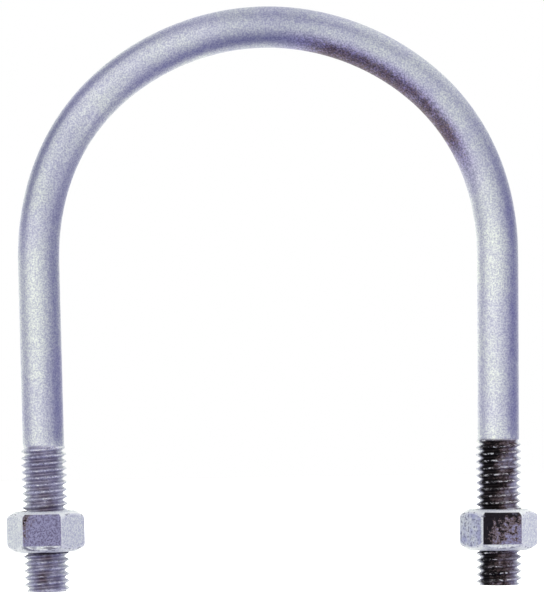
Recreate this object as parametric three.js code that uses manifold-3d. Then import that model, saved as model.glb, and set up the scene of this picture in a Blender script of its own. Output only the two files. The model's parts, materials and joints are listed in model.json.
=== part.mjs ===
// Round-bend U-bolt with two finished hex nuts, in millimetres, +Z up.
//
// The bolt stands on its two leg ends: Z runs up the legs to the bow, X runs across the legs and
// Y through the thickness. The origin is midway between the leg ends, level with their lowest edge.
import * as THREE from 'three';
import { mergeVertices } from 'three/addons/utils/BufferGeometryUtils.js';
import Module from 'manifold-3d';

const INCH = 25.4;
const DEGREE = Math.PI / 180;

// Bent rod
const ROD_DIAMETER = 11.5; // blank of a rolled thread, near the pitch diameter
const INSIDE_WIDTH = 116.1; // 4 9/16 inch nominal, between the legs at the bow's spring line
const INSIDE_HEIGHT = 150.2; // from the leg ends to the inside of the bow
const BOW_SHOULDER = 0.7; // the most that the bow stands outside a half circle, 35 degrees up each side
const TOE_IN = 0.65 * DEGREE; // each leg leans this far towards the other at its end

// Thread, 1/2-13 UNC, right-hand
const THREAD_PITCH = INCH / 13;
const THREAD_MAJOR_DIAMETER = 12.6;
const THREAD_MINOR_DIAMETER = 10.3;
const THREAD_LENGTH = 41; // from the leg end to the last trace of the run-out
const RUN_OUT = 2; // the top of that length, where the grooves fade
const END_FACE_DIAMETER = 10.8;
const END_CHAMFER_SLOPE = 1.1; // radius gained per millimetre above the end face
const CREST_SHARE = 1 / 8; // of a pitch, flat at the crest
const ROOT_SHARE = 1 / 4; // of a pitch, flat at the root

// Nuts
const NUT_ACROSS_FLATS = 0.75 * INCH;
const NUT_HEIGHT = 11.4;
const NUT_FACE_DIAMETER = 16.6; // where the chamfers at both ends meet the flat faces
const NUT_CHAMFER = 30 * DEGREE;
const NUT_TURN = 4.6 * DEGREE; // about the leg, opposite ways on the two legs
const THREAD_CLEARANCE = 0.3; // between the bolt's crests and the nut's plain bore
const COUNTERSINK = 0.5;

// Facets
const ROD_FACETS = 20;
const BOW_STEP = 5 * DEGREE;
const NUT_ROUND_FACETS = 48;
const BORE_FACETS = 32;
const SNAP = 0.1; // a thread point this near a limit of the thread joins it

const LEGS = {
  left: { side: -1, crestStart: 0, nutHeight: 11.05 },
  right: { side: 1, crestStart: 0.96, nutHeight: 9.7 },
};

const rodRadius = ROD_DIAMETER / 2;
const endRadius = END_FACE_DIAMETER / 2;
const bowRadius = INSIDE_WIDTH / 2 + rodRadius; // of the bent rod's centreline
const legEndDrop = INSIDE_HEIGHT - INSIDE_WIDTH / 2; // from the bow's centre to a leg end's centre
const legLength = (legEndDrop - bowRadius * Math.sin(TOE_IN)) / Math.cos(TOE_IN);
const bowCentre = new THREE.Vector3(0, 0, legEndDrop + endRadius * Math.sin(TOE_IN));

const wasm = await Module();
wasm.setup();

const zinc = new THREE.MeshStandardMaterial({ color: 0xb9bad0, roughness: 0.42, metalness: 0.9 });
const nutZinc = new THREE.MeshStandardMaterial({ color: 0xc4cad2, roughness: 0.38, metalness: 0.9 });

// A group whose origin is the centre of a leg's end face and whose +Z runs up the leg.
function legFrame({ side }) {
  const frame = new THREE.Group();
  frame.position.set(
    side * (bowRadius * Math.cos(TOE_IN) - legLength * Math.sin(TOE_IN)),
    0,
    bowCentre.z - legEndDrop,
  );
  frame.rotation.y = side * TOE_IN;
  frame.updateMatrixWorld();
  return frame;
}

// ---- bent rod ----

// Height of one thread tooth as a share of its full depth, at a place in the turn from 0 at the
// middle of the crest to 1 at the next crest.
function toothHeight(turn) {
  const fromCrest = Math.abs(turn - Math.round(turn));
  const flankLength = (1 - CREST_SHARE - ROOT_SHARE) / 2;
  return 1 - THREE.MathUtils.clamp((fromCrest - CREST_SHARE / 2) / flankLength, 0, 1);
}

// Radius of the leg at a height above its end and a place in the turn of the thread.
function legRadius(height, turn) {
  const root = THREAD_MINOR_DIAMETER / 2;
  const depth = (THREAD_MAJOR_DIAMETER - THREAD_MINOR_DIAMETER) / 2;
  const fade = THREE.MathUtils.smoothstep(height, THREAD_LENGTH - RUN_OUT, THREAD_LENGTH);
  const threaded = THREE.MathUtils.lerp(root + depth * toothHeight(turn), rodRadius, fade);
  return Math.min(threaded, endRadius + END_CHAMFER_SLOPE * height);
}

// The rod's surface is gathered here as one list of points and one of triangles.
const rodPoints = [];
const rodTriangles = [];

function addPoint(point) {
  rodPoints.push(point.x, point.y, point.z);
  return rodPoints.length / 3 - 1;
}

function addTriangle(a, b, c) {
  if (a !== b && b !== c && c !== a) {
    rodTriangles.push(a, b, c);
  }
}

// Two triangles over a patch whose corners run anticlockwise from outside.
function addPatch(a, b, c, d) {
  addTriangle(a, b, c);
  addTriangle(a, c, d);
}

function facetAngle(facet) {
  return -Math.PI + (2 * Math.PI * facet) / ROD_FACETS;
}

function snapHeight(height) {
  if (height < SNAP) {
    return 0;
  }
  return height > THREAD_LENGTH - SNAP ? THREAD_LENGTH : height;
}

// Builds one threaded leg end and returns the ring of points at the top of the thread. The rows of
// points follow the helix, so each row climbs one pitch in a turn and meets the row one pitch on.
function threadedEnd(leg) {
  const frame = legFrame(leg);
  const rowTurns = [-CREST_SHARE / 2, CREST_SHARE / 2, (1 - ROOT_SHARE) / 2, (1 + ROOT_SHARE) / 2];
  const rowsPerTurn = rowTurns.length;
  const lastTurn = Math.ceil(THREAD_LENGTH / THREAD_PITCH) + 1;
  const columns = [];
  for (let facet = 0; facet < ROD_FACETS; facet += 1) {
    const column = [];
    let lastHeight = -1;
    for (let row = -2 * rowsPerTurn; row <= lastTurn * rowsPerTurn; row += 1) {
      const place = ((row % rowsPerTurn) + rowsPerTurn) % rowsPerTurn;
      const turn = Math.floor(row / rowsPerTurn) + rowTurns[place];
      const height = snapHeight(leg.crestStart + (turn + facet / ROD_FACETS) * THREAD_PITCH);
      if (height !== lastHeight) {
        const radius = legRadius(height, turn);
        const angle = facetAngle(facet);
        const local = new THREE.Vector3(radius * Math.cos(angle), radius * Math.sin(angle), height);
        column.push(addPoint(local.applyMatrix4(frame.matrixWorld)));
      } else {
        column.push(column[column.length - 1]);
      }
      lastHeight = height;
    }
    columns.push(column);
  }
  joinColumns(columns, rowsPerTurn);
  const endCentre = addPoint(new THREE.Vector3().applyMatrix4(frame.matrixWorld));
  for (let facet = 0; facet < ROD_FACETS; facet += 1) {
    addTriangle(endCentre, columns[(facet + 1) % ROD_FACETS][0], columns[facet][0]);
  }
  return columns.map((column) => column[column.length - 1]);
}

function joinColumns(columns, rowsPerTurn) {
  const lastRow = columns[0].length - 1;
  for (let facet = 0; facet < ROD_FACETS; facet += 1) {
    const next = columns[(facet + 1) % ROD_FACETS];
    const shift = facet === ROD_FACETS - 1 ? rowsPerTurn : 0;
    for (let row = 0; row < lastRow; row += 1) {
      const nextRow = Math.min(row + shift, lastRow);
      const nextRowUp = Math.min(row + shift + 1, lastRow);
      addPatch(columns[facet][row], next[nextRow], next[nextRowUp], columns[facet][row + 1]);
    }
  }
}

function joinRings(lower, upper) {
  for (let facet = 0; facet < ROD_FACETS; facet += 1) {
    const next = (facet + 1) % ROD_FACETS;
    addPatch(lower[facet], lower[next], upper[next], upper[facet]);
  }
}

// Point of the bow's centreline at an angle about the bow's centre, from 0 over the right leg to
// 180 degrees over the left. The shoulders stand outside a circle, by a term that peaks at 1.
function bowPoint(bend) {
  const peak = 4 / 27;
  const fullness = bend > 0 && bend < Math.PI ? Math.sin(bend) ** 2 * Math.cos(bend) ** 4 / peak : 0;
  const radius = bowRadius + BOW_SHOULDER * fullness;
  const outward = new THREE.Vector3(Math.cos(bend), 0, Math.sin(bend));
  return bowCentre.clone().addScaledVector(outward, radius);
}

// Ring of the bow, square to its centreline.
function bowRing(bend) {
  const along = bowPoint(bend + 0.5 * DEGREE).sub(bowPoint(bend - 0.5 * DEGREE)).normalize();
  const outward = new THREE.Vector3(along.z, 0, -along.x);
  const ring = [];
  for (let facet = 0; facet < ROD_FACETS; facet += 1) {
    const angle = facetAngle(facet);
    const point = bowPoint(bend);
    point.addScaledVector(outward, rodRadius * Math.cos(angle));
    point.y += rodRadius * Math.sin(angle);
    ring.push(addPoint(point));
  }
  return ring;
}

function bentRodGeometry() {
  let ring = threadedEnd(LEGS.right);
  const bends = [-TOE_IN];
  for (let step = 0; step <= Math.round(Math.PI / BOW_STEP); step += 1) {
    bends.push(step * BOW_STEP);
  }
  bends.push(Math.PI + TOE_IN);
  for (const bend of bends) {
    const next = bowRing(bend);
    joinRings(ring, next);
    ring = next;
  }
  // The bow's outward direction is the left leg's -X, so that leg's facets run the other way.
  const leftTop = threadedEnd(LEGS.left);
  const facing = ring.map((_, facet) => leftTop[(ROD_FACETS * 1.5 - facet) % ROD_FACETS]);
  joinRings(ring, facing);
  const geometry = new THREE.BufferGeometry();
  geometry.setAttribute('position', new THREE.Float32BufferAttribute(rodPoints, 3));
  geometry.setIndex(rodTriangles);
  geometry.computeVertexNormals();
  return geometry;
}

// ---- nuts ----

function toSolid(geometry) {
  const plain = geometry.clone();
  plain.deleteAttribute('normal');
  plain.deleteAttribute('uv');
  const merged = mergeVertices(plain);
  return new wasm.Manifold(new wasm.Mesh({
    numProp: 3,
    vertProperties: new Float32Array(merged.attributes.position.array),
    triVerts: new Uint32Array(merged.index.array),
  }));
}

function toGeometry(solid) {
  const mesh = solid.getMesh();
  const geometry = new THREE.BufferGeometry();
  geometry.setAttribute('position', new THREE.Float32BufferAttribute(mesh.vertProperties, 3));
  geometry.setIndex(Array.from(mesh.triVerts));
  geometry.computeVertexNormals();
  return geometry;
}

// A solid turned about Z from an outline of [radius, height] pairs.
function turned(outline, facets) {
  const points = outline.map(([radius, height]) => new THREE.Vector2(radius, height));
  return new THREE.LatheGeometry(points, facets).rotateX(Math.PI / 2);
}

// The nut's hexagonal bar, flats towards +Y and -Y, standing on Z = 0.
function hexagonBar() {
  const cornerRadius = NUT_ACROSS_FLATS / Math.sqrt(3);
  const outline = new THREE.Shape();
  for (let corner = 0; corner < 6; corner += 1) {
    const angle = (corner * Math.PI) / 3;
    const x = cornerRadius * Math.cos(angle);
    const y = cornerRadius * Math.sin(angle);
    if (corner === 0) {
      outline.moveTo(x, y);
    } else {
      outline.lineTo(x, y);
    }
  }
  outline.closePath();
  return new THREE.ExtrudeGeometry(outline, { depth: NUT_HEIGHT, bevelEnabled: false });
}

// What the chamfering tool leaves of the bar: a drum with a cone at each end.
function chamferedDrum() {
  const faceRadius = NUT_FACE_DIAMETER / 2;
  const drumRadius = NUT_ACROSS_FLATS * 0.62;
  const rise = (drumRadius - faceRadius) * Math.tan(NUT_CHAMFER);
  return turned([
    [0, 0],
    [faceRadius, 0],
    [drumRadius, rise],
    [drumRadius, NUT_HEIGHT - rise],
    [faceRadius, NUT_HEIGHT],
    [0, NUT_HEIGHT],
  ], NUT_ROUND_FACETS);
}

// A plain bore that clears the thread, with a 45 degree countersink at each face.
function boreCutter() {
  const radius = (THREAD_MAJOR_DIAMETER / 2 + THREAD_CLEARANCE) / Math.cos(Math.PI / BORE_FACETS);
  const past = 1;
  return turned([
    [0, -past],
    [radius + COUNTERSINK + past, -past],
    [radius, COUNTERSINK],
    [radius, NUT_HEIGHT - COUNTERSINK],
    [radius + COUNTERSINK + past, NUT_HEIGHT + past],
    [0, NUT_HEIGHT + past],
  ], BORE_FACETS);
}

function nutGeometry() {
  const bar = toSolid(hexagonBar());
  const drum = toSolid(chamferedDrum());
  const bore = toSolid(boreCutter());
  return toGeometry(bar.intersect(drum).subtract(bore));
}

// ---- assembly ----

function part(name, geometry, material) {
  const mesh = new THREE.Mesh(geometry, material);
  mesh.name = name;
  return mesh;
}

// A leg's frame with its nut threaded on.
function nutOnLeg(name, leg, geometry) {
  const frame = legFrame(leg);
  const nut = part(name, geometry, nutZinc);
  nut.position.z = leg.nutHeight;
  nut.rotation.z = leg.side * NUT_TURN;
  frame.add(nut);
  return frame;
}

const nut = nutGeometry();
const uBolt = new THREE.Group();
uBolt.add(part('bent_rod', bentRodGeometry(), zinc));
uBolt.add(nutOnLeg('left_nut', LEGS.left, nut));
uBolt.add(nutOnLeg('right_nut', LEGS.right, nut));

export default uBolt;
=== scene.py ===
import json
import math
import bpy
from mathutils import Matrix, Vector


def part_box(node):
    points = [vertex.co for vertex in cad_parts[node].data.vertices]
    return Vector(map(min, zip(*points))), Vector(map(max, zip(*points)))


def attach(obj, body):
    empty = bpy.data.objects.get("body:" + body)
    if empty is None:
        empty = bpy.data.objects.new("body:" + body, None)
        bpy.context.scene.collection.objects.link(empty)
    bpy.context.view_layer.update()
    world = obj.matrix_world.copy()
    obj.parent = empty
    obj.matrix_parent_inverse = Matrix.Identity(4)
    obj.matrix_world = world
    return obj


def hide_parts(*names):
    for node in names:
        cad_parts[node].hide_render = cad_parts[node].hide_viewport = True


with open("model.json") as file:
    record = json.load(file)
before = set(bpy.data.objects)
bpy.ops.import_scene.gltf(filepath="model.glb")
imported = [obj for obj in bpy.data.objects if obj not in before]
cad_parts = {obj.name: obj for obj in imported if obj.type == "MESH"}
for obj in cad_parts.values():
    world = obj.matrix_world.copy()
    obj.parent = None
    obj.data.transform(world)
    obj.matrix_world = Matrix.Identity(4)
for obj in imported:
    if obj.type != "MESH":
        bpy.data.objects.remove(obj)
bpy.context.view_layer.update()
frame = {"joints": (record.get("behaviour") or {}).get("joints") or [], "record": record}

from types import SimpleNamespace

import bpy
import numpy as np
from mathutils import Matrix, Vector, noise

MM = 0.001

# ---------------------------------------------------------------- sizes, in metres
# What the frame gives: the bow, the lean of the legs and the places of the nuts.
ROD_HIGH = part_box("bent_rod")[1]
JOINT_AXIS = {j["child"]: Vector(j["axis"]).normalized() for j in frame["joints"]}
MOUNT_POINT = {m["name"]: Vector(m["pos_m"]) for m in frame["record"]["mounts"]}

ROD_RADIUS = 5.75 * MM
BOW_RADIUS = ROD_HIGH.x - ROD_RADIUS  # of the rod's centreline
BOW_CENTRE = Vector((0, 0, ROD_HIGH.z - ROD_HIGH.x))
BOW_SHOULDER = 0.7 * MM  # the most that the bow stands outside a half circle
TOE_IN = math.atan2(JOINT_AXIS["right_nut"].x, JOINT_AXIS["right_nut"].z)

# Thread, 1/2-13 UNC, right-hand
PITCH = 25.4 * MM / 13
MAJOR_RADIUS = ROD_HIGH.y
MINOR_RADIUS = 5.15 * MM
THREAD_DEPTH = MAJOR_RADIUS - MINOR_RADIUS
THREAD_LENGTH = 41 * MM
RUN_OUT = 2 * MM
END_RADIUS = 5.4 * MM
END_CHAMFER_SLOPE = 1.1
CREST_SHARE = 1 / 8
ROOT_SHARE = 1 / 4
CREST_ROUNDING = 0.14  # of a flank's width
CREST_START = {"left": 0, "right": 0.96 * MM}

# Nuts
NUT_HALF_FLATS = 19.05 * MM / 2
NUT_HALF_CORNERS = NUT_HALF_FLATS / math.cos(math.radians(30))
NUT_HEIGHT = 11.4 * MM
NUT_FACE_RADIUS = 8.3 * MM
NUT_CHAMFER = math.radians(30)
NUT_TURN = math.radians(4.6)
NUT_THREAD_GAP = 0.12 * MM
NUT_MINOR_RADIUS = 5.45 * MM
NUT_CORNER_SOFTNESS = 0.16 * MM
COUNTERSINK_RADIUS = 6.9 * MM
SIDE_ROUND = 0.3 * MM  # how far the rounding of each chamfer's edge reaches, mid side
CORNER_ROUND = 0.9 * MM  # and at the corners
FACE_ROUND = 0.4 * MM

# Wear of the surface: the size of its unevenness, and how deep it goes
ROD_WEAR_SIZE, ROD_WEAR_DEPTH = 3 * MM, 0.025 * MM
THREAD_WEAR_SIZE, THREAD_WEAR_DEPTH = 0.6 * MM, 0.03 * MM
DENT_SIZE, DENT_DEPTH = 1.1 * MM, 0.16 * MM
DENT_RARITY = 0.32  # the noise makes a dent where it is above this
DENT_STEEPNESS = 1.8

# Mesh fineness
ROD_FACETS = 96
ROWS_PER_TURN = 14
BOW_STEPS = 144
SHANK_STEPS = 24
NUT_BORE_ROWS = 90
SIDE_ROWS = 16
FILLET_STEPS = 6
END_RINGS = (0.93, 0.5)  # shares of the end's radius
NUT_COLUMNS = (0, 0.5, 1.0, 1.6, 2.4, 3.5, 5, 8, 12, 16, 20, 25, 30)  # degrees, corner to mid side
SNAP = 0.03 * MM  # rows of the helix this close to an end of the thread lie on it
SHARP_EDGE = math.radians(38)

SIDE = {"left": -1, "right": 1}

# Wear and painted highlight values on the nut's outline, which brighten its edges and chamfers: 0 on the
# sides, up to 1
FACE_WEAR_AND_HIGHLIGHT = 0.3
FACE_EDGE_WEAR_AND_HIGHLIGHT = 0.6
CHAMFER_WEAR_AND_HIGHLIGHT = 0.75
CHAMFER_ROW = 0.6  # the chamfer's own row, as a share of the way out
SIDE_EDGE_WEAR_AND_HIGHLIGHT = 0.9
CORNER_WEAR_AND_HIGHLIGHT_REACH = 2.2  # degrees from a corner

# ---------------------------------------------------------------- places of the rod's dark patch and painted shade
# The bow is measured in degrees of bend, from 0 over the right leg to 180 over the left.
DARK_PATCH_START = (10, 36)  # the dark patch comes up over this stretch
DARK_PATCH_END = (72, 91)  # and goes over this one
DARK_PATCH_INWARD = (-0.12, 0.65)  # from the front and back towards the inside
# Painted shade: stretches of the bow, a streak on its outer side, and a little everywhere past the right
# leg
SHADED_STRETCHES = ((55, 55), (90, 18), (157, 20))  # centre and half width of each
STREAK_START = (100, 125)
STREAK_END = (160, 185)
STREAK_OUTWARD = 0.74  # where it runs, from 0 at the front to 1 on the outside
STREAK_EDGES = (0.2, 0.04)  # distances from there at which it starts and is full
LEFT_SHADE = 0.4  # past the first degrees of the bow, and on down the left leg
LEFT_START = (0, 12)
STRETCH_SHADE = 0.6
BROWN_THREAD = (20 * MM, 34 * MM)  # heights between which the thread's brown fades out

# ---------------------------------------------------------------- colours
# Plated zinc
ROD_PALE = (0.83, 0.84, 0.83, 1)
ROD_DEEP = (0.71, 0.70, 0.79, 1)
NUT_PALE = (0.84, 0.85, 0.84, 1)
NUT_DEEP = (0.74, 0.75, 0.78, 1)
GRAIN_DARK = (0.82, 0.82, 0.87, 1)
GRAIN_LIGHT = (0.96, 0.96, 0.96, 1)
SPECKLE_DARK = (0.72, 0.71, 0.83, 1)
SPECKLE_LIGHT = (1.14, 1.14, 1.08, 1)
PIT = (0.16, 0.13, 0.17, 1)
# The tint of the painted shade on the bow, its outer streak and the left of the rod
PAINTED_SHADE_TINT = (0, 0, 0.2, 1)

# The dark brown patch inside the shoulder
DARK_PATCH_VIOLET = (0.28, 0.23, 0.46, 1)
DARK_PATCH_BROWN = (0.10, 0.055, 0.065, 1)
FLECK_DARK = (0.45, 0.42, 0.50, 1)
FLECK_LIGHT = (1.55, 1.50, 1.60, 1)

# The thread
# The painted shade on the thread's front and back: its violet mottle and patches
THREAD_DEEP = (0.42, 0.40, 0.58, 1)
THREAD_PALE = (0.86, 0.84, 0.94, 1)
THREAD_PATCH = (0.20, 0.17, 0.30, 1)
# Grime and painted shade in the thread's hollows
THREAD_HOLLOW_GRIME_AND_SHADE = (0.22, 0.19, 0.30, 1)
THREAD_BROWN = (0.10, 0.045, 0.06, 1)
THREAD_SPECK = (0.06, 0.045, 0.07, 1)
THREAD_TAR_THIN = (0.14, 0.095, 0.10, 1)
THREAD_TAR_THICK = (0.006, 0.004, 0.004, 1)
# Painted glints on the crests
CREST_PAINTED_GLINT = (0.90, 0.88, 0.92, 1)

# The nuts
BLOOM_PALE = (0.68, 0.69, 0.73, 1)
BLOOM_DEEP = (0.36, 0.36, 0.57, 1)
BLOOM_SPOT = (0.06, 0.06, 0.15, 1)
# A painted dark reflection on the front and back sides of the nuts
PATCH_DEEP = (0.13, 0.11, 0.20, 1)
PATCH_PALE = (0.29, 0.27, 0.44, 1)
# Painted shade: dark lines under the front and back rectangles
LOW_STREAK_SHADE = (0.12, 0.10, 0.17, 1)
# Tar and a painted dark reflection on the front and back sides; the same colours darken the bores
NUT_TAR_AND_REFLECTION_THIN = (0.15, 0.105, 0.105, 1)
NUT_TAR_AND_REFLECTION_THICK = (0.005, 0.003, 0.003, 1)
EDGE_GRIME = (0.16, 0.15, 0.20, 1)
# Rubbed edges and a painted highlight on the chamfers
EDGE_WEAR_AND_HIGHLIGHT = (0.84, 0.83, 0.86, 1)

# Gloss and relief
ROD_METAL = 0.97
NUT_METAL = 0.25
ROD_ROUGHNESS = (0.40, 0.47)
NUT_ROUGHNESS = (0.36, 0.5)
ROD_DRAWN = 0.65
ROD_RELIEF = 0.02 * MM
NUT_RELIEF = 0.04 * MM
SPECULAR_LEVEL = 0.1
SPECULAR_TINT = (0.75, 0.75, 0.8, 1)

# Scales of the noises that make up the zinc, per metre
CLOUDS = 75
GRAIN = 900
SPECKLE = 2300
PITS = 2100

# ---------------------------------------------------------------- light and camera
# The studio's soft sources, seen from the bolt: degrees round from the camera's side towards +X,
# degrees up, half width in degrees, and strength.
SOURCES = [
    (-30, 12, 75, 1.46),
    (45, -25, 30, 1.50),
    (45, 25, 30, 1.00),
    (105, -25, 30, 0.62),
    (120, 60, 50, 0.62),
    (165, 40, 75, 1.02),
    (-165, -25, 75, 2.24),
]
SOURCE_COLOUR = (0.95, 1.0, 0.70)
AMBIENT_COLOUR = (0.01, 0.0, 0.30, 1)
WHITE = (1, 1, 1, 1)

FILL_PLACE = (0.78, -0.2, 0.15)
FILL_TARGET = (0, 0, 0.05)
FILL_SIZE = 0.5
FILL_WATTS = 2.2

FLOOR_DROP = 9 * MM  # clears a nut that hangs from the end of its leg
FLOOR_RADIUS = 1.6
FLOOR_PAINT = (0.9, 0.9, 0.9, 1)
FLOOR_GLOW = 0.8

CAMERA_DISTANCE = 2.0
FIELD_HEIGHT = 166.75 * MM  # of the object's plane, over the whole height of the picture
SENSOR = 36.0
HANG = math.radians(0.86)  # the bolt is turned this far anticlockwise in the picture
AIM = BOW_CENTRE + Vector((0.9 * MM, 0, -12.07 * MM))


# ---------------------------------------------------------------- frames on the legs
def leg_matrix(leg):
    """From a leg's own frame, with its origin at the centre of the end face and +Z up the leg."""
    side = SIDE[leg]
    end_z = END_RADIUS * math.sin(TOE_IN)
    drop = BOW_CENTRE.z - end_z
    length = (drop - BOW_RADIUS * math.sin(TOE_IN)) / math.cos(TOE_IN)
    end_x = BOW_RADIUS * math.cos(TOE_IN) - length * math.sin(TOE_IN)
    return Matrix.Translation((side * end_x, 0, end_z)) @ Matrix.Rotation(side * TOE_IN, 4, "Y")


def nut_height_on_leg(leg):
    """Height of a nut's lower face above the end of its leg."""
    top = leg_matrix(leg).inverted() @ MOUNT_POINT[f"{leg}_nut_bearing_face"]
    return top.z - NUT_HEIGHT


# ---------------------------------------------------------------- thread
def rounded_step(x):
    """Rises from 0 to 1 as x does, with the corners rounded off."""
    soft = CREST_ROUNDING
    low = np.where(x < soft, (x + soft) ** 2 / (4 * soft), x)
    low = np.where(x < -soft, 0, low)
    high = np.where(x > 1 - soft, 1 - (1 + soft - x) ** 2 / (4 * soft), low)
    return np.where(x > 1 + soft, 1, high)


def tooth_height(turn):
    """How far the thread stands up: 0 in the root, 1 on a crest, which whole turns are the middle of."""
    from_crest = np.abs(turn - np.round(turn))
    flank = (1 - CREST_SHARE - ROOT_SHARE) / 2
    return rounded_step(1 - (from_crest - CREST_SHARE / 2) / flank)


def smoothstep(x, low, high):
    t = np.clip((x - low) / (high - low), 0, 1)
    return t * t * (3 - 2 * t)


def leg_radius(height, turn):
    """The leg's radius, with the thread's run-out and the chamfer at the end."""
    threaded = MINOR_RADIUS + THREAD_DEPTH * tooth_height(turn)
    fade = smoothstep(height, THREAD_LENGTH - RUN_OUT, THREAD_LENGTH)
    radius = threaded * (1 - fade) + ROD_RADIUS * fade
    return np.minimum(radius, END_RADIUS + END_CHAMFER_SLOPE * height)


# ---------------------------------------------------------------- mesh gathering
class Surface:
    """Points, faces and the per-point values that the materials read, for wear, painted shade and painted
    highlight among others.
    """

    def __init__(self, *layers):
        self.points = []
        self.faces = []
        self.grain = []
        self.layers = {name: [] for name in layers}

    def add_point(self, point, around=0.0, along=0.0, **values):
        self.points.append(tuple(point))
        self.grain.append((around % 1, along))
        for name, column in self.layers.items():
            column.append(values.get(name, 0.0))
        return len(self.points) - 1

    def add_face(self, *corners):
        """A face through the corners, leaving out repeats and faces that have no area."""
        kept = [c for i, c in enumerate(corners) if c != corners[i - 1]]
        if len(set(kept)) >= 3:
            self.faces.append(kept)

    def join_rings(self, lower, upper):
        count = len(lower)
        for i in range(count):
            j = (i + 1) % count
            self.add_face(lower[i], lower[j], upper[j], upper[i])

    def map_grain(self, mesh):
        """A UV map that runs once round the section and along the rod, in turns and metres."""
        layer = mesh.uv_layers.new(name="grain")
        places = []
        for corners in self.faces:
            turns = [self.grain[c][0] for c in corners]
            over_seam = max(turns) - min(turns) > 0.5
            for turn, corner in zip(turns, corners):
                around = turn + 1 if over_seam and turn < 0.5 else turn
                places += (around, self.grain[corner][1])
        layer.data.foreach_set("uv", places)

    def to_object(self, name, material):
        mesh = bpy.data.meshes.new(name)
        mesh.from_pydata(self.points, [], self.faces)
        for layer, column in self.layers.items():
            mesh.attributes.new(layer, "FLOAT", "POINT").data.foreach_set("value", column)
        self.map_grain(mesh)
        mesh.polygons.foreach_set("use_smooth", [True] * len(mesh.polygons))
        mesh.set_sharp_from_angle(angle=SHARP_EDGE)
        mesh.materials.append(material)
        made = bpy.data.objects.new(name, mesh)
        bpy.context.scene.collection.objects.link(made)
        return made


# ---------------------------------------------------------------- wear of the rod
def rough(point, size, depth):
    """How far the worn surface lies under the true one at a point: 0 to depth."""
    return depth * 0.5 * (1 + noise.noise(Vector(point) / size))


def crest_damage(point):
    """Small dents where crests were knocked: mostly 0, and about 1 at the most."""
    above = noise.noise(Vector(point) / DENT_SIZE) - DENT_RARITY
    return max(0.0, above) * DENT_STEEPNESS


def inner_stain(bend, angle):
    """The dark brown patch on the inside of the bow's right shoulder: 0 to 1."""
    bend = math.degrees(bend)
    begun = smoothstep(bend, *DARK_PATCH_START)
    ended = 1 - smoothstep(bend, *DARK_PATCH_END)
    inward = smoothstep(-math.cos(angle), *DARK_PATCH_INWARD)
    return float(begun * ended * inward)


def dullness(bend, angle):
    """How much painted shade the plating gets: a little everywhere but on the right leg, and more over
    some stretches of the bow and along a streak on its outer side."""
    bend = math.degrees(bend)
    stretches = sum(smoothstep(abs(bend - centre), half, half / 3) for centre, half in SHADED_STRETCHES)
    across = smoothstep(abs(math.cos(angle) - STREAK_OUTWARD), *STREAK_EDGES)
    streak = across * smoothstep(bend, *STREAK_START) * (1 - smoothstep(bend, *STREAK_END))
    beyond_right_leg = smoothstep(bend, *LEFT_START)
    return float(LEFT_SHADE * beyond_right_leg + STRETCH_SHADE * stretches + streak)


# ---------------------------------------------------------------- threaded ends of the rod
def facet_angle(facet):
    return -math.pi + 2 * math.pi * facet / ROD_FACETS


def grain_turn(leg, facet):
    """Where a facet of a leg lies round the rod, in turns. The left leg's facets run the other way."""
    return facet / ROD_FACETS if leg == "right" else 1.5 - facet / ROD_FACETS


def threaded_end(surface, leg):
    """Adds one threaded leg end to the rod. The rows follow the helix. Returns the top ring."""
    place = leg_matrix(leg)
    turns = np.arange(-2 * ROWS_PER_TURN, (math.ceil(THREAD_LENGTH / PITCH) + 1) * ROWS_PER_TURN + 1)
    turns = turns / ROWS_PER_TURN
    columns = [helix_column(surface, place, leg, turns, facet) for facet in range(ROD_FACETS)]
    join_helix(surface, columns)
    close_end(surface, place, leg, [column[0] for column in columns])
    return [column[-1] for column in columns]


def helix_column(surface, place, leg, turns, facet):
    """One column of points up the thread, with a repeat wherever two rows meet at an end."""
    heights = np.clip(CREST_START[leg] + (turns + facet / ROD_FACETS) * PITCH, 0, THREAD_LENGTH)
    heights[heights < SNAP] = 0
    heights[heights > THREAD_LENGTH - SNAP] = THREAD_LENGTH
    column = []
    last = None
    for height, radius, tooth in zip(heights, leg_radius(heights, turns), tooth_height(turns)):
        if height != last:
            column.append(thread_point(surface, place, leg, height, radius, tooth, facet))
        else:
            column.append(column[-1])
        last = height
    return column


def thread_point(surface, place, leg, height, radius, tooth, facet):
    angle = facet_angle(facet)
    away = Vector((math.cos(angle), math.sin(angle), 0))
    spot = away * radius + Vector((0, 0, height))
    worn = rough(spot, THREAD_WEAR_SIZE, THREAD_WEAR_DEPTH) + crest_damage(spot) * tooth * DENT_DEPTH
    if height in (0, THREAD_LENGTH):
        worn = 0
    fade = float(smoothstep(height, THREAD_LENGTH, THREAD_LENGTH - RUN_OUT / 2))
    return surface.add_point(
        place @ (spot - away * worn), around=grain_turn(leg, facet), along=float(height),
        threaded=fade, root=(1 - tooth) * fade, right_leg=float(leg == "right"),
        front=abs(math.sin(angle)), sideways=math.cos(angle),
    )


def join_helix(surface, columns):
    last = len(columns[0]) - 1
    for facet, column in enumerate(columns):
        following = columns[(facet + 1) % ROD_FACETS]
        shift = ROWS_PER_TURN if facet == ROD_FACETS - 1 else 0
        for row in range(last):
            a = following[min(row + shift, last)]
            b = following[min(row + shift + 1, last)]
            surface.add_face(column[row], a, b, column[row + 1])


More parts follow.
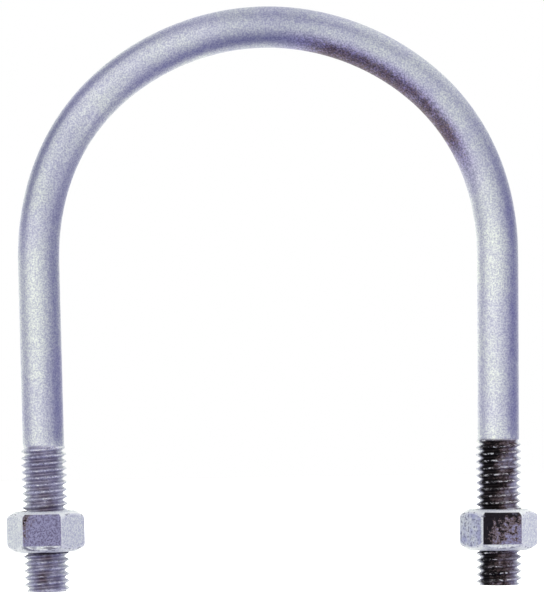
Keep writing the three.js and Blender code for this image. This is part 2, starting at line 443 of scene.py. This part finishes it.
def close_end(surface, place, leg, rim):
    """The sheared end face: rings inside the rim and a centre."""
    outer = rim
    for share in END_RINGS:
        ring = []
        for facet in range(ROD_FACETS):
            angle = facet_angle(facet)
            spot = Vector((math.cos(angle), math.sin(angle), 0)) * END_RADIUS * share
            ring.append(surface.add_point(
                place @ spot, around=grain_turn(leg, facet), along=-END_RADIUS * (1 - share), threaded=1.0
            ))
        surface.join_rings(ring, outer)
        outer = ring
    centre = surface.add_point(place @ Vector((0, 0, 0)), along=-END_RADIUS, threaded=1.0)
    for facet in range(ROD_FACETS):
        surface.add_face(centre, outer[(facet + 1) % ROD_FACETS], outer[facet])


# ---------------------------------------------------------------- bent rod
def rod_ring(surface, centre, outward, along, bend):
    """A plain ring of the rod, with its facets counted from the side away from outward."""
    ring = []
    for facet in range(ROD_FACETS):
        angle = facet_angle(facet)
        away = outward * math.cos(angle) + Vector((0, math.sin(angle), 0))
        spot = centre + away * ROD_RADIUS
        on_outline = abs(math.sin(angle)) < 0.01
        worn = 0 if on_outline else rough(spot, ROD_WEAR_SIZE, ROD_WEAR_DEPTH)
        ring.append(surface.add_point(
            spot - away * worn, around=facet / ROD_FACETS, along=along,
            stain=inner_stain(bend, angle), dull=dullness(bend, angle),
        ))
    return ring


def shank_rings(surface, leg):
    """Rings between the thread and the bow, upwards, without either end."""
    place = leg_matrix(leg)
    outward = place.to_3x3() @ Vector((SIDE[leg], 0, 0))
    spring = BOW_CENTRE + outward * BOW_RADIUS
    start = place @ Vector((0, 0, THREAD_LENGTH))
    bend = 0 if leg == "right" else math.pi
    rings = []
    for step in range(1, SHANK_STEPS):
        centre = start.lerp(spring, step / SHANK_STEPS)
        rings.append(rod_ring(surface, centre, outward, centre.z, bend))
    return rings


def bow_point(bend):
    """Point of the bow's centreline, from 0 over the right leg to pi over the left.

    The shoulders are fullest where sin squared times cos to the fourth has its peak.
    """
    peak = 4 / 27
    fullness = math.sin(bend) ** 2 * math.cos(bend) ** 4 / peak if 0 < bend < math.pi else 0
    radius = BOW_RADIUS + BOW_SHOULDER * fullness
    return BOW_CENTRE + Vector((math.cos(bend), 0, math.sin(bend))) * radius


def bow_rings(surface):
    """Rings round the bow, from the right leg's spring to the left leg's."""
    nearby = 0.004
    rings = []
    for step in range(BOW_STEPS + 1):
        bend = -TOE_IN + (math.pi + 2 * TOE_IN) * step / BOW_STEPS
        tangent = (bow_point(bend + nearby) - bow_point(bend - nearby)).normalized()
        outward = Vector((tangent.z, 0, -tangent.x))
        along = BOW_CENTRE.z + BOW_RADIUS * min(bend, math.pi - bend)
        rings.append(rod_ring(surface, bow_point(bend), outward, along, bend))
    return rings


def bent_rod(material):
    surface = Surface("threaded", "root", "right_leg", "front", "sideways", "stain", "dull")
    rings = [threaded_end(surface, "right")]
    rings += shank_rings(surface, "right")
    rings += bow_rings(surface)
    rings += reversed(shank_rings(surface, "left"))
    top = threaded_end(surface, "left")
    # The bow's outward side is the left leg's -X, so that leg's facets run the other way.
    rings.append([top[(ROD_FACETS * 3 // 2 - facet) % ROD_FACETS] for facet in range(ROD_FACETS)])
    for lower, upper in zip(rings, rings[1:]):
        surface.join_rings(lower, upper)
    return surface.to_object("bent_rod_fine", material)


# ---------------------------------------------------------------- nuts
def hexagon_radius(angle):
    """Distance from the axis to the hexagon's side, with the corners rounded off.

    Sides that face well away from the angle can't be the nearest, and are left out.
    """
    facing = [math.cos(angle - math.radians(side)) for side in range(30, 360, 60)]
    reach = [NUT_HALF_FLATS / c for c in facing if c > 0.3]
    nearest = min(reach)
    blend = sum(math.exp((nearest - r) / NUT_CORNER_SOFTNESS) for r in reach)
    return nearest - NUT_CORNER_SOFTNESS * math.log(blend)


def nut_angles():
    """Columns round the nut, closer together near the corners."""
    sector = [*NUT_COLUMNS] + [60 - d for d in NUT_COLUMNS[-2:0:-1]]
    return [math.radians(corner + d) for corner in range(0, 360, 60) for d in sector]


def fillet(before, corner, after, size):
    """Points of a rounded corner, which takes less than half of either edge of the outline."""
    most = 0.45
    start = corner + (before - corner).normalized() * min(size, (before - corner).length * most)
    end = corner + (after - corner).normalized() * min(size, (after - corner).length * most)
    shares = [i / FILLET_STEPS for i in range(FILLET_STEPS + 1)]
    return [start * (1 - t) ** 2 + corner * 2 * t * (1 - t) + end * t * t for t in shares]


def edge_reach(radius):
    """How far the rounding of the chamfers' edges reaches, where the side is at this radius."""
    towards_corner = (radius - NUT_HALF_FLATS) / (NUT_HALF_CORNERS - NUT_HALF_FLATS)
    return SIDE_ROUND + (CORNER_ROUND - SIDE_ROUND) * towards_corner


def nut_outline(radius):
    """The outside of the nut at one angle, from the lower face's inner edge to the upper one's.

    Each entry is a point, as radius and height, with its wear and painted highlight value and how far it
    is on a side.
    """
    rise = (radius - NUT_FACE_RADIUS) * math.tan(NUT_CHAMFER)
    inner_low = Vector((COUNTERSINK_RADIUS, 0))
    face_low = Vector((NUT_FACE_RADIUS, 0))
    side_low = Vector((radius, rise))
    side_high = Vector((radius, NUT_HEIGHT - rise))
    face_high = Vector((NUT_FACE_RADIUS, NUT_HEIGHT))
    inner_high = Vector((COUNTERSINK_RADIUS, NUT_HEIGHT))
    low_edge = fillet(face_low, side_low, side_high, edge_reach(radius))
    high_edge = fillet(side_low, side_high, face_high, edge_reach(radius))
    outline = [(inner_low, FACE_WEAR_AND_HIGHLIGHT, 0)]
    outline += [(p, FACE_EDGE_WEAR_AND_HIGHLIGHT, 0) for p in fillet(inner_low, face_low, side_low, FACE_ROUND)]
    outline += [(face_low.lerp(low_edge[0], CHAMFER_ROW), CHAMFER_WEAR_AND_HIGHLIGHT, 0)]
    outline += [(p, SIDE_EDGE_WEAR_AND_HIGHLIGHT, i / FILLET_STEPS) for i, p in enumerate(low_edge)]
    outline += [(low_edge[-1].lerp(high_edge[0], i / SIDE_ROWS), 0, 1) for i in range(1, SIDE_ROWS)]
    outline += [(p, SIDE_EDGE_WEAR_AND_HIGHLIGHT, 1 - i / FILLET_STEPS) for i, p in enumerate(high_edge)]
    outline += [(face_high.lerp(high_edge[-1], CHAMFER_ROW), CHAMFER_WEAR_AND_HIGHLIGHT, 0)]
    outline += [(p, FACE_EDGE_WEAR_AND_HIGHLIGHT, 0) for p in fillet(side_high, face_high, inner_high, FACE_ROUND)]
    outline += [(inner_high, FACE_WEAR_AND_HIGHLIGHT, 0)]
    return outline


def bore_radius(leg, height, angle):
    """The nut's internal thread: the bolt's own thread with a gap, cut off at its minor radius."""
    turn = (height + nut_height_on_leg(leg) - CREST_START[leg]) / PITCH
    turn -= (angle + SIDE[leg] * NUT_TURN + math.pi) / (2 * math.pi)
    thread = MINOR_RADIUS + THREAD_DEPTH * float(tooth_height(np.float64(turn))) + NUT_THREAD_GAP
    cone = COUNTERSINK_RADIUS - min(height, NUT_HEIGHT - height)
    return max(thread, NUT_MINOR_RADIUS, cone)


def side_layers(leg, angle):
    """The layers that are the same all the way up a column of the nut's outside.

    The sides towards -Y and +Y get the painted dark reflection, short of the columns on their corners.
    Across runs from -1 to 1 over each side.
    """
    sector = math.degrees(angle) % 60
    stained = abs(math.sin(angle)) > math.cos(math.radians(29.7))
    lavender = leg == "right" and math.radians(180) <= angle <= math.radians(240)
    return {
        "across": sector / 30 - 1,
        "stained": float(stained),
        "lavender": float(lavender),
        "right_leg": float(leg == "right"),
    }


def nut_column(surface, leg, place, angle):
    """One column of points round the nut's section, up the outside and down the bore."""
    sector = math.degrees(angle) % 60
    corner_wear_and_highlight = max(0.0, 1 - min(sector, 60 - sector) / CORNER_WEAR_AND_HIGHLIGHT_REACH)
    layers = side_layers(leg, angle)
    away = Vector((math.cos(angle), math.sin(angle), 0))
    up = Vector((0, 0, 1))
    column = []
    for point, worn, on_side in nut_outline(hexagon_radius(angle)):
        # worn carries the rubbed edges and the painted highlight on the chamfers
        column.append(surface.add_point(
            place @ (away * point.x + up * point.y),
            worn=max(worn, corner_wear_and_highlight), on_side=on_side, height=point.y / NUT_HEIGHT, **layers
        ))
    for row in range(1, NUT_BORE_ROWS):
        height = NUT_HEIGHT * (1 - row / NUT_BORE_ROWS)
        spot = away * bore_radius(leg, height, angle) + up * height
        column.append(surface.add_point(place @ spot, inside=1.0, right_leg=layers["right_leg"]))
    return column


def nut(leg, material):
    surface = Surface("worn", "on_side", "stained", "lavender", "across", "height", "inside", "right_leg")
    turn = Matrix.Rotation(SIDE[leg] * NUT_TURN, 4, "Z")
    place = leg_matrix(leg) @ Matrix.Translation((0, 0, nut_height_on_leg(leg))) @ turn
    columns = [nut_column(surface, leg, place, angle) for angle in nut_angles()]
    for column, following in zip(columns, columns[1:] + columns[:1]):
        surface.join_rings(column, following)
    return surface.to_object(f"{leg}_nut_fine", material)


# ---------------------------------------------------------------- material nodes
class Nodes:
    """A node tree with short calls for the nodes that the materials use."""

    def __init__(self, tree):
        self.tree = tree
        tree.nodes.clear()

    def add(self, kind, inputs=(), **settings):
        node = self.tree.nodes.new(kind)
        for name, value in settings.items():
            setattr(node, name, value)
        for name, value in dict(inputs).items():
            self.put(node.inputs[name], value)
        return node

    def put(self, socket, value):
        if isinstance(value, bpy.types.NodeSocket):
            self.tree.links.new(value, socket)
        else:
            socket.default_value = value

    def math(self, operation, a, b=0.0, clamp=False):
        return self.add("ShaderNodeMath", {0: a, 1: b}, operation=operation, use_clamp=clamp).outputs[0]

    def plus(self, first, *others):
        for other in others:
            first = self.math("ADD", first, other)
        return first

    def minus(self, a, b):
        return self.math("SUBTRACT", a, b)

    def times(self, first, *others):
        for other in others:
            first = self.math("MULTIPLY", first, other)
        return first

    def mix(self, share, a, b, blend="MIX"):
        node = self.add("ShaderNodeMix", data_type="RGBA", blend_type=blend, clamp_factor=True)
        self.put(node.inputs[0], share)
        self.put(node.inputs[6], a)
        self.put(node.inputs[7], b)
        return node.outputs[2]

    def noise(self, where, scale, detail=3.0, roughness=0.55):
        return self.add("ShaderNodeTexNoise", {
            "Vector": where, "Scale": scale, "Detail": detail, "Roughness": roughness,
        }).outputs["Fac"]

    def spread(self, value, low, high, out_low=0.0, out_high=1.0):
        return self.add("ShaderNodeMapRange", {
            "Value": value, "From Min": low, "From Max": high,
            "To Min": out_low, "To Max": out_high,
        }, clamp=True, interpolation_type="SMOOTHSTEP").outputs["Result"]

    def layer(self, name):
        return self.add("ShaderNodeAttribute", attribute_name=name).outputs["Fac"]

    def place(self):
        return self.add("ShaderNodeTexCoord").outputs["Object"]

    def flattened(self, where, times):
        """The place with its height scaled up, so that a noise lies in flat streaks."""
        return self.add("ShaderNodeMapping", {"Vector": where, "Scale": (1, 1, times)}).outputs[0]


def new_material(name):
    material = bpy.data.materials.new(name)
    material.use_nodes = True
    return material, Nodes(material.node_tree)


def zinc_base(n, where, pale, deep):
    """Plated zinc: pale and lavender clouds, crystal grain, speckle and fine dark pits."""
    clouds = n.noise(where, CLOUDS, detail=4, roughness=0.6)
    colour = n.mix(n.spread(clouds, 0.36, 0.66), pale, deep)
    grain = n.noise(where, GRAIN, detail=3, roughness=0.7)
    crystals = n.mix(n.spread(grain, 0.3, 0.7), GRAIN_DARK, GRAIN_LIGHT)
    colour = n.mix(1.0, colour, crystals, blend="MULTIPLY")
    speckle = n.spread(n.noise(where, SPECKLE, detail=1), 0.32, 0.68)
    colour = n.mix(1.0, colour, n.mix(speckle, SPECKLE_DARK, SPECKLE_LIGHT), blend="MULTIPLY")
    pits = n.spread(n.noise(where, PITS, detail=2, roughness=0.6), 0.66, 0.74)
    return n.mix(n.times(pits, 0.5), colour, PIT), grain


def finish_material(n, colour, metallic, roughness, height, relief, drawn=0.0):
    """Joins the shader. Drawn is how far the grain along the rod spreads its gloss across it."""
    bump = n.add("ShaderNodeBump", {"Height": height, "Distance": relief, "Strength": 1.0})
    shader = n.add("ShaderNodeBsdfPrincipled", {
        "Base Color": colour, "Metallic": metallic, "Roughness": roughness,
        "Normal": bump.outputs["Normal"], "Anisotropic": drawn,
        "Specular IOR Level": SPECULAR_LEVEL, "Specular Tint": SPECULAR_TINT,
    })
    if drawn:
        grain = n.add("ShaderNodeTangent", direction_type="UV_MAP", uv_map="grain")
        n.put(shader.inputs["Tangent"], grain.outputs["Tangent"])
    out = n.add("ShaderNodeOutputMaterial")
    n.tree.links.new(shader.outputs[0], out.inputs["Surface"])


# ---------------------------------------------------------------- the rod's material
def rod_noises(n):
    """The noises that the rod's stains, thread and tar share."""
    where = n.place()
    blotches = n.noise(where, 240, detail=4, roughness=0.65)
    return SimpleNamespace(
        where=where,
        uneven=n.times(n.minus(blotches, 0.5), 1.6),
        mottle=n.noise(where, 1500, detail=3, roughness=0.7),
        speckle=n.noise(where, SPECKLE, detail=1),
    )


def shoulder_stain(n, noises):
    """Share and colour of the dark patch inside one shoulder: flecked brown, violet at its rim."""
    stain = n.layer("stain")
    share = n.math("ADD", stain, n.times(noises.uneven, 0.35, stain), clamp=True)
    brown = n.spread(n.plus(share, n.times(noises.mottle, 1.8)), 1.35, 2.0)
    colour = n.mix(brown, DARK_PATCH_VIOLET, DARK_PATCH_BROWN)
    flecks = n.mix(n.spread(noises.speckle, 0.36, 0.64), FLECK_DARK, FLECK_LIGHT)
    return share, n.mix(1.0, colour, flecks, blend="MULTIPLY")


def dull_share(n, noises, inner_side):
    """Where the thread gets its painted shade: on the front and back, and further round on the right leg.
    """
    bound = n.plus(n.layer("front"), n.times(noises.uneven, 0.22), n.times(n.layer("right_leg"), 0.16))
    facing = n.spread(n.plus(bound, n.times(inner_side, 0.03)), 0.52, 0.84)
    return n.times(n.layer("threaded"), facing)


def dull_colour(n, noises):
    """The painted shade on the thread's front and back: violet, darker with grime and painted shade in
    its hollows, brown low in the middle.
    """
    colour = n.mix(n.spread(noises.mottle, 0.35, 0.65), THREAD_DEEP, THREAD_PALE)
    patches = n.noise(noises.where, 520, detail=3, roughness=0.7)
    colour = n.mix(n.spread(patches, 0.46, 0.58, 0.0, 0.55), colour, THREAD_PATCH)
    hollow_grime_and_shade = n.spread(n.plus(n.layer("root"), noises.uneven), 0.35, 1.1)
    colour = n.mix(hollow_grime_and_shade, colour, THREAD_HOLLOW_GRIME_AND_SHADE)
    height = n.add("ShaderNodeSeparateXYZ", {0: noises.where}).outputs["Z"]
    low = n.minus(1.0, n.spread(height, *BROWN_THREAD))
    middle = n.spread(n.plus(n.layer("front"), n.times(noises.uneven, 0.4)), 0.85, 1.1)
    brown = n.times(middle, n.plus(n.times(low, 0.7), 0.2))
    colour = n.mix(brown, colour, THREAD_BROWN)
    return n.mix(n.spread(noises.speckle, 0.6, 0.75), colour, THREAD_SPECK)


def thread_tar(n, noises, inner_side):
    """Share and colour of the tar on the right leg's thread, thickest towards the other leg."""
    patchy = n.plus(n.times(noises.uneven, 0.7), n.times(n.minus(noises.mottle, 0.5), 0.9))
    reach = n.plus(n.times(inner_side, 0.35), patchy)
    share = n.times(n.spread(reach, -0.45, -0.05), n.layer("right_leg"))
    return share, n.mix(n.spread(reach, -0.2, 0.12), THREAD_TAR_THIN, THREAD_TAR_THICK)


def painted_crest_glints(n, where):
    """Painted glints: short bright lengths on the crests."""
    lengths = n.spread(n.noise(n.flattened(where, 3), 900, detail=3, roughness=0.7), 0.53, 0.61)
    return n.times(lengths, n.spread(n.layer("root"), 0.4, 0.05))


def rod_material():
    material, n = new_material("rod_zinc_plate")
    noises = rod_noises(n)
    where = noises.where
    colour, grain = zinc_base(n, where, ROD_PALE, ROD_DEEP)
    # Painted shade on stretches of the bow, its outer streak and the left of the rod
    colour = n.mix(n.times(n.layer("dull"), 0.22), colour, PAINTED_SHADE_TINT)
    stained, stain_colour = shoulder_stain(n, noises)
    # The dark brown patch inside the right shoulder
    colour = n.mix(n.times(stained, 0.87), colour, stain_colour)
    inner_side = n.times(n.layer("right_leg"), n.layer("sideways"), -1.0)
    # Painted shade on the thread's front and back; the tar and glints show only within it
    dull = dull_share(n, noises, inner_side)
    colour = n.mix(n.times(dull, 0.9), colour, dull_colour(n, noises))
    tarred, tar_colour = thread_tar(n, noises, inner_side)
    grime = n.times(tarred, dull)
    colour = n.mix(n.times(grime, 0.98), colour, tar_colour)
    # Painted glints on the crests
    colour = n.mix(n.times(painted_crest_glints(n, where), dull, 0.85), colour, CREST_PAINTED_GLINT)
    metallic = n.minus(ROD_METAL, n.times(n.plus(grime, n.layer("threaded")), 0.3))
    metallic = n.math("SUBTRACT", metallic, n.times(stained, 0.3), clamp=True)
    polish = n.spread(n.noise(where, 420, detail=3), 0.3, 0.7, *ROD_ROUGHNESS)
    roughness = n.plus(polish, n.times(grime, 0.1))
    fine = n.noise(where, 1700, detail=3, roughness=0.7)
    height = n.plus(n.times(grain, 0.6), n.times(fine, 0.4))
    finish_material(n, colour, metallic, roughness, height, ROD_RELIEF, drawn=ROD_DRAWN)
    return material


# ---------------------------------------------------------------- the nuts' material
def nut_layers(n):
    names = ("worn", "on_side", "stained", "lavender", "across", "height", "inside", "right_leg")
    return SimpleNamespace(**{name: n.layer(name) for name in names})


def lavender_bloom(n, where, layers):
    """Share and colour of the spotted bloom on one side of the right nut, short of its corner."""
    short_of_corner = n.spread(layers.across, 0.94, 0.80)
    share = n.times(layers.lavender, n.spread(layers.on_side, 0.2, 0.8), short_of_corner)
    soft = n.plus(n.times(layers.across, 0.16), n.noise(where, 260, detail=3, roughness=0.6))
    colour = n.mix(n.spread(soft, 0.35, 0.62), BLOOM_PALE, BLOOM_DEEP)
    spots = n.spread(n.noise(where, 1500, detail=2, roughness=0.6), 0.53, 0.60)
    return share, n.mix(n.times(spots, 0.8), colour, BLOOM_SPOT)


def stained_patch(n, layers, uneven):
    """The painted dark reflection, a rectangle on the front and back sides: its share, and heights from
    its lower edge.
    """
    from_middle = n.math("ABSOLUTE", layers.across)
    sides = n.spread(n.plus(from_middle, n.times(uneven, 0.05)), 0.995, 0.965)
    top = n.spread(n.plus(layers.height, n.times(uneven, 0.02)), 0.945, 0.925)
    lower_edge = n.minus(0.163, n.times(layers.right_leg, 0.005))
    above = n.minus(n.plus(layers.height, n.times(uneven, 0.03)), lower_edge)
    return n.times(layers.stained, top, sides, n.spread(above, -0.012, 0.012)), above


def low_shade_streaks(n, where, layers, above):
    """Painted shade: dark lines in the pale band under the rectangle, fainter on the right nut."""
    streaks = n.spread(n.noise(n.flattened(where, 5), 330, detail=3), 0.47, 0.57)
    fainter = n.minus(1.0, n.times(layers.right_leg, 0.7))
    return n.times(n.spread(above, 0.0, -0.02), layers.stained, streaks, fainter)


def nut_tar_and_reflection(n, where, layers, uneven, patch):
    """Share and colour of tar and a painted dark reflection on the rectangles, most of it on the right
    nut, and of the darkening in the bores.

    It comes from the upper corner at the low end of across, and holds along the edges there.
    """
    start = n.minus(n.times(layers.right_leg, 0.72), 0.26)
    lean = n.minus(n.times(layers.height, 0.5), n.times(layers.across, 0.22))
    near_corner = n.spread(layers.across, -0.55, -1.0, 0.0, 0.25)
    near_top = n.spread(layers.height, 0.72, 0.9, 0.0, 0.12)
    mottle = n.minus(n.noise(where, 1000, detail=4, roughness=0.75), 0.5)
    patchy = n.plus(n.times(uneven, 0.7), n.times(mottle, 2.1))
    reach = n.plus(start, lean, near_corner, near_top, patchy)
    on_patch = n.times(n.spread(reach, 0.36, 0.68), patch, 0.97)
    share = n.math("MAXIMUM", on_patch, n.times(layers.inside, 0.85))
    return share, n.mix(n.spread(reach, 0.62, 0.84), NUT_TAR_AND_REFLECTION_THIN, NUT_TAR_AND_REFLECTION_THICK)


def edge_specks(n, where, layers):
    """Specks of grime along the edges of the sides."""
    at_edge = n.spread(n.times(layers.on_side, n.minus(1.0, layers.on_side)), 0.05, 0.2)
    return n.times(at_edge, n.spread(n.noise(where, 700, detail=3), 0.52, 0.6))


def nut_material():
    material, n = new_material("nut_zinc_plate")
    where = n.place()
    layers = nut_layers(n)
    uneven = n.minus(n.noise(where, 330, detail=5, roughness=0.7), 0.5)
    colour, grain = zinc_base(n, where, NUT_PALE, NUT_DEEP)
    bloom, bloom_colour = lavender_bloom(n, where, layers)
    colour = n.mix(n.times(bloom, 0.85), colour, bloom_colour)
    # The painted dark reflection on the front and back sides
    patch, above = stained_patch(n, layers, uneven)
    speckle = n.spread(n.noise(where, SPECKLE, detail=2, roughness=0.6), 0.36, 0.6)
    colour = n.mix(n.times(patch, 0.97), colour, n.mix(speckle, PATCH_DEEP, PATCH_PALE))
    # Painted shade lines under the rectangle
    streaks = low_shade_streaks(n, where, layers, above)
    colour = n.mix(n.times(streaks, 0.8), colour, LOW_STREAK_SHADE)
    # Tar and painted dark reflection on the front and back sides, and the darkened bores
    tar_and_reflection, tar_colour = nut_tar_and_reflection(n, where, layers, uneven, patch)
    colour = n.mix(tar_and_reflection, colour, tar_colour)
    specks = edge_specks(n, where, layers)
    colour = n.mix(n.times(specks, 0.6), colour, EDGE_GRIME)
    bare = n.math("SUBTRACT", 1.0, n.plus(layers.inside, patch, streaks, specks), clamp=True)
    # Rubbed edges and a painted highlight on the chamfers and corners
    colour = n.mix(n.times(n.spread(layers.worn, 0.5, 0.9), bare, 0.7), colour, EDGE_WEAR_AND_HIGHLIGHT)
    metallic = n.minus(NUT_METAL, n.times(n.math("MAXIMUM", tar_and_reflection, patch), 0.15))
    polish = n.spread(n.noise(where, 500, detail=3), 0.3, 0.7, *NUT_ROUGHNESS)
    roughness = n.plus(polish, n.times(tar_and_reflection, 0.1))
    finish_material(n, colour, metallic, roughness, grain, NUT_RELIEF)
    return material


# ---------------------------------------------------------------- stage
def floor():
    """A plain pale floor that throws no light on the bolt."""
    place = (0, 0, -FLOOR_DROP)
    bpy.ops.mesh.primitive_circle_add(vertices=96, radius=FLOOR_RADIUS, fill_type="NGON", location=place)
    made = bpy.context.object
    made.name = "pale_floor"
    material, n = new_material("pale_floor_paint")
    paint = n.add("ShaderNodeBsdfDiffuse", {"Color": FLOOR_PAINT})
    glow = n.add("ShaderNodeEmission", {"Color": WHITE, "Strength": FLOOR_GLOW})
    both = n.add("ShaderNodeAddShader")
    out = n.add("ShaderNodeOutputMaterial")
    n.tree.links.new(paint.outputs[0], both.inputs[0])
    n.tree.links.new(glow.outputs[0], both.inputs[1])
    n.tree.links.new(both.outputs[0], out.inputs["Surface"])
    made.data.materials.append(material)
    made.visible_glossy = False
    made.visible_diffuse = False


def lobe(n, direction, around, up, width, strength):
    """One soft source, brightest in the middle and gone at its half width."""
    around, up, width = math.radians(around), math.radians(up), math.radians(width)
    towards = (math.sin(around) * math.cos(up), -math.cos(around) * math.cos(up), math.sin(up))
    along = n.add("ShaderNodeVectorMath", {0: direction, 1: towards}, operation="DOT_PRODUCT")
    share = n.spread(along.outputs["Value"], math.cos(width), 1.0)
    scaled = n.times(share, strength)
    return n.add("ShaderNodeVectorMath", {0: SOURCE_COLOUR, 3: scaled}, operation="SCALE").outputs[0]


def studio():
    """Soft light from all round: large pale sources in a dim violet room, plain white to the camera."""
    world = bpy.data.worlds.new("studio")
    bpy.context.scene.world = world
    world.use_nodes = True
    n = Nodes(world.node_tree)
    direction = n.add("ShaderNodeTexCoord").outputs["Generated"]
    light = AMBIENT_COLOUR
    for source in SOURCES:
        light = n.mix(1.0, light, lobe(n, direction, *source), blend="ADD")
    seen = n.add("ShaderNodeLightPath").outputs["Is Camera Ray"]
    background = n.add("ShaderNodeBackground", {"Color": n.mix(seen, light, WHITE), "Strength": 1.0})
    out = n.add("ShaderNodeOutputWorld")
    n.tree.links.new(background.outputs[0], out.inputs["Surface"])


def fill_light():
    """A large soft light for dull surfaces, without a reflection of its own in the gloss."""
    data = bpy.data.lights.new("right_fill", "AREA")
    data.size = FILL_SIZE
    data.energy = FILL_WATTS
    made = bpy.data.objects.new("right_fill", data)
    made.location = FILL_PLACE
    aim = Vector(FILL_TARGET) - Vector(FILL_PLACE)
    made.rotation_euler = aim.to_track_quat("-Z", "Y").to_euler()
    made.visible_glossy = False
    bpy.context.scene.collection.objects.link(made)


def camera():
    data = bpy.data.cameras.new("camera")
    data.sensor_width = SENSOR
    data.lens = SENSOR * CAMERA_DISTANCE / FIELD_HEIGHT
    data.clip_start = 0.1
    data.clip_end = 10
    made = bpy.data.objects.new("camera", data)
    right = Vector((math.cos(HANG), 0, -math.sin(HANG)))
    back = Vector((0, -1, 0))
    up = back.cross(right)
    rotation = Matrix((right, up, back)).transposed().to_4x4()
    made.matrix_world = Matrix.Translation(AIM + back * CAMERA_DISTANCE) @ rotation
    bpy.context.scene.collection.objects.link(made)
    bpy.context.scene.camera = made


# ---------------------------------------------------------------- assembly
def assemble():
    rod = bent_rod(rod_material())
    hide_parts("bent_rod")
    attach(rod, "rod")
    plate = nut_material()
    for leg in ("left", "right"):
        made = nut(leg, plate)
        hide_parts(f"{leg}_nut")
        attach(made, f"{leg}_nut")


camera()
assemble()
floor()
studio()
fill_light()
bpy.context.scene.view_settings.view_transform = "Standard"
